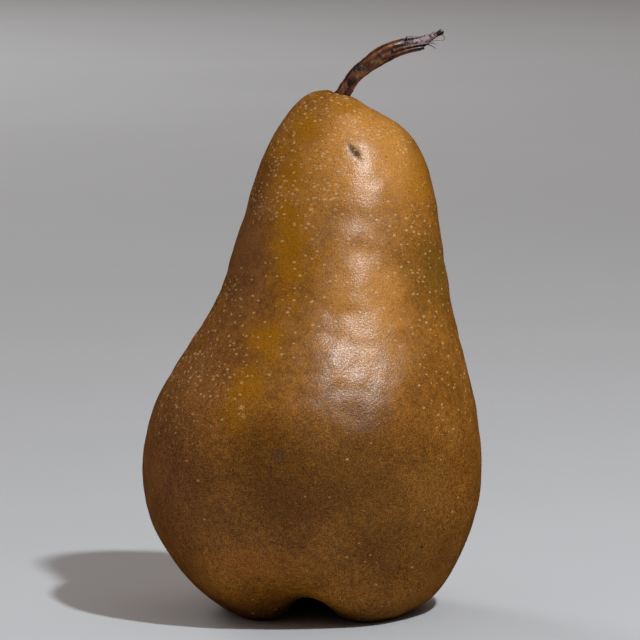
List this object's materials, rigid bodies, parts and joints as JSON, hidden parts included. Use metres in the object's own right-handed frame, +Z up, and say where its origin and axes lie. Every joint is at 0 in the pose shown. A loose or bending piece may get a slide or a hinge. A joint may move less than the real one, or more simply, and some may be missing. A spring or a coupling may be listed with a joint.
{
  "type": "pear",
  "caption": "Russet pear standing upright on the lobes round its eye, with a bent woody stem and the dried leaves of the eye underneath.",
  "frame": {"origin": "on the floor under the middle of the belly", "axes": "+Z up through the fruit, +X towards the side the stem leans to, -Y towards the wide dip between the two front lobes"},
  "size_m": [0.0716, 0.0698, 0.1219],
  "materials": {
    "russet_skin": "waxy satin russet skin, golden brown with pale dots",
    "stem_bark": "grooved dark red-brown bark, half gloss",
    "dried_leaf": "dry, brown-black and matt"
  },
  "bodies": {
    "root": {"pear_body": "russet_skin", "stem": "stem_bark", "sepal_1": "dried_leaf", "sepal_2": "dried_leaf", "sepal_3": "dried_leaf", "sepal_4": "dried_leaf", "sepal_5": "dried_leaf"}
  },
  "joints": []
}
